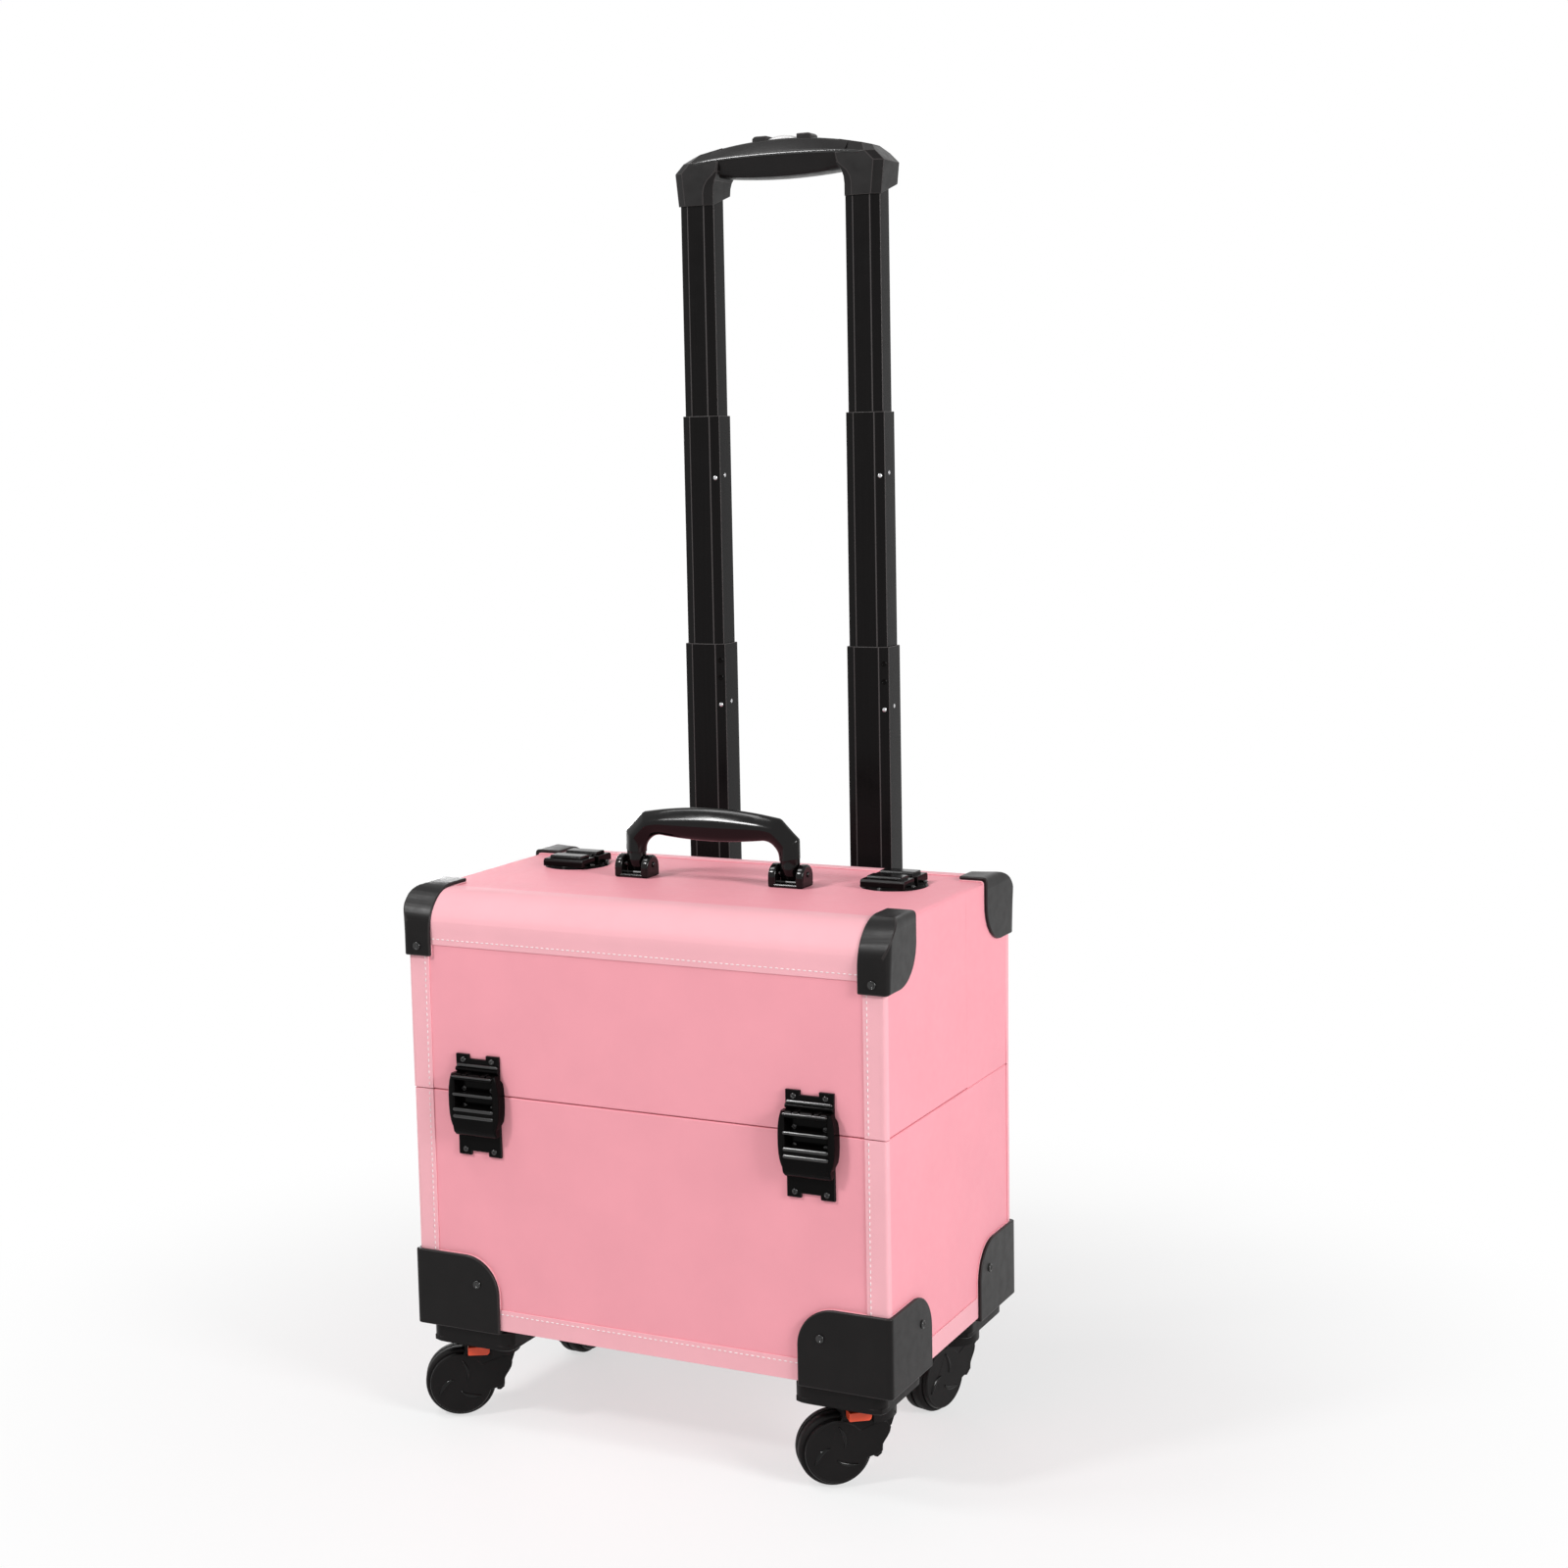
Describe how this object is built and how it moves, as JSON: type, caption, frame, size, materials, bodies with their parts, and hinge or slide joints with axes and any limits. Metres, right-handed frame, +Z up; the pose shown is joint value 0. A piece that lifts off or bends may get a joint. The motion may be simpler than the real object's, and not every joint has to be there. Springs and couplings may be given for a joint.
{
  "type": "rolling makeup case",
  "caption": "Pink leather-look rolling makeup case with a lift-up lid, black corner guards, a telescopic pull handle and swivel casters.",
  "frame": {"origin": "middle of the bounding box's footprint, on the floor under the wheels", "axes": "+Z up along the pull handle, +X towards the case's left-to-right width, +Y towards the back; the front latches face -Y"},
  "size_m": [0.3746, 0.2786, 0.911],
  "materials": {
    "pink_leather": "fine grain, semi-matt",
    "pink_strip": "fine grain, semi-matt",
    "lining_cloth": "matt",
    "rim_metal": "satin",
    "black_plastic": "satin",
    "black_metal": "gloss",
    "bright_steel": "polished",
    "dark_aluminium": "satin anodised",
    "wheel_rubber": "matt",
    "red_plastic": "semi-gloss"
  },
  "bodies": {
    "case": {"base_shell": "pink_leather", "base_binding": "pink_strip", "base_lining": "lining_cloth", "base_rim": "rim_metal", "rear_hood": "pink_leather", "hood_binding": "pink_strip", "hood_lining": "lining_cloth", "lower_guard_front_left": "black_plastic", "lower_guard_front_right": "black_plastic", "lower_guard_rear_left": "black_plastic", "lower_guard_rear_right": "black_plastic", "upper_guard_rear_left": "black_plastic", "upper_guard_rear_right": "black_plastic", "base_rivets": "black_metal", "latch_keeper_left": "black_metal", "latch_keeper_right": "black_metal", "base_screws": "black_metal", "hinge_rear_left": "black_metal", "hinge_rear_right": "black_metal", "hinge_pins": "bright_steel", "caster_blocks": "black_plastic", "trolley_sleeve_left": "dark_aluminium", "trolley_sleeve_right": "dark_aluminium", "trolley_brackets": "black_plastic"},
    "lid": {"lid_shell": "pink_leather", "lid_binding": "pink_strip", "lid_lining": "lining_cloth", "upper_guard_front_left": "black_plastic", "upper_guard_front_right": "black_plastic", "lid_rivets": "black_metal", "latch_plate_left": "black_metal", "latch_plate_right": "black_metal", "lid_pins": "bright_steel", "lid_screws": "black_metal", "hinge_front_left": "black_metal", "hinge_front_right": "black_metal", "handle_bracket_left": "black_plastic", "handle_bracket_right": "black_plastic"},
    "latch_left": {"latch_lever_left": "black_metal"},
    "latch_right": {"latch_lever_right": "black_metal"},
    "handle": {"carry_handle": "black_plastic"},
    "trolley_low": {"lower_tube_left": "dark_aluminium", "lower_tube_right": "dark_aluminium"},
    "trolley_mid": {"middle_tube_left": "dark_aluminium", "middle_tube_right": "dark_aluminium"},
    "trolley_top": {"upper_tube_left": "dark_aluminium", "upper_tube_right": "dark_aluminium", "trolley_grip": "black_plastic"},
    "release": {"release_button": "black_plastic", "release_rods": "bright_steel"},
    "fork_fl": {"fork_front_left": "black_plastic"},
    "fork_fr": {"fork_front_right": "black_plastic"},
    "fork_rl": {"fork_rear_left": "black_plastic"},
    "fork_rr": {"fork_rear_right": "black_plastic"},
    "wheel_fl": {"wheel_front_left": "wheel_rubber"},
    "wheel_fr": {"wheel_front_right": "wheel_rubber"},
    "wheel_rl": {"wheel_rear_left": "wheel_rubber"},
    "wheel_rr": {"wheel_rear_right": "wheel_rubber"},
    "brake_l": {"brake_tab_left": "red_plastic"},
    "brake_r": {"brake_tab_right": "red_plastic"}
  },
  "joints": [
    {"name": "lid_hinge", "type": "hinge", "parent": "case", "child": "lid", "pos_m": [0, 0.01235, 0.3872], "axis": [-1, 0, 0], "range_deg": [0, 95]},
    {"name": "latch_left_hinge", "type": "hinge", "parent": "lid", "child": "latch_left", "pos_m": [-0.127, -0.134, 0.256], "axis": [-1, 0, 0], "range_deg": [0, 100]},
    {"name": "latch_right_hinge", "type": "hinge", "parent": "lid", "child": "latch_right", "pos_m": [0.127, -0.134, 0.256], "axis": [-1, 0, 0], "range_deg": [0, 100]},
    {"name": "handle_hinge", "type": "hinge", "parent": "lid", "child": "handle", "pos_m": [0, -0.01565, 0.391], "axis": [1, 0, 0], "range_deg": [0, 70]},
    {"name": "trolley_low_slide", "type": "slide", "parent": "case", "child": "trolley_low", "axis": [0, 0, 1], "range_m": [-0.168, 0]},
    {"name": "trolley_mid_slide", "type": "slide", "parent": "trolley_low", "child": "trolley_mid", "axis": [0, 0, 1], "range_m": [-0.168, 0]},
    {"name": "trolley_top_slide", "type": "slide", "parent": "trolley_mid", "child": "trolley_top", "axis": [0, 0, 1], "range_m": [-0.152, 0]},
    {"name": "release_push", "type": "slide", "parent": "trolley_top", "child": "release", "axis": [0, 0, -1], "range_m": [0, 0.003], "stiffness_N_per_m": 600, "springref_m": -0.003},
    {"name": "swivel_fl", "type": "hinge", "parent": "case", "child": "fork_fl", "pos_m": [-0.147, -0.09365, 0.0615], "axis": [0, 0, 1], "continuous": true},
    {"name": "roll_fl", "type": "hinge", "parent": "fork_fl", "child": "wheel_fl", "pos_m": [-0.16566, -0.10531, 0.025], "axis": [0.5299, -0.848, 0], "continuous": true},
    {"name": "swivel_fr", "type": "hinge", "parent": "case", "child": "fork_fr", "pos_m": [0.147, -0.09365, 0.0615], "axis": [0, 0, 1], "continuous": true},
    {"name": "roll_fr", "type": "hinge", "parent": "fork_fr", "child": "wheel_fr", "pos_m": [0.12966, -0.10719, 0.025], "axis": [0.6157, -0.788, 0], "continuous": true},
    {"name": "swivel_rl", "type": "hinge", "parent": "case", "child": "fork_rl", "pos_m": [-0.147, 0.05635, 0.0615], "axis": [0, 0, 1], "continuous": true},
    {"name": "roll_rl", "type": "hinge", "parent": "fork_rl", "child": "wheel_rl", "pos_m": [-0.14777, 0.03436, 0.025], "axis": [0.9994, -0.0349, 0], "continuous": true},
    {"name": "swivel_rr", "type": "hinge", "parent": "case", "child": "fork_rr", "pos_m": [0.147, 0.05635, 0.0615], "axis": [0, 0, 1], "continuous": true},
    {"name": "roll_rr", "type": "hinge", "parent": "fork_rr", "child": "wheel_rr", "pos_m": [0.14131, 0.0351, 0.025], "axis": [0.9659, -0.2588, 0], "continuous": true},
    {"name": "brake_l_press", "type": "hinge", "parent": "fork_fl", "child": "brake_l", "pos_m": [-0.14059, -0.10957, 0.052], "axis": [0.5299, -0.848, 0], "range_deg": [0, 10]},
    {"name": "brake_r_press", "type": "hinge", "parent": "fork_fr", "child": "brake_r", "pos_m": [0.15504, -0.10881, 0.052], "axis": [0.6157, -0.788, 0], "range_deg": [0, 10]}
  ]
}
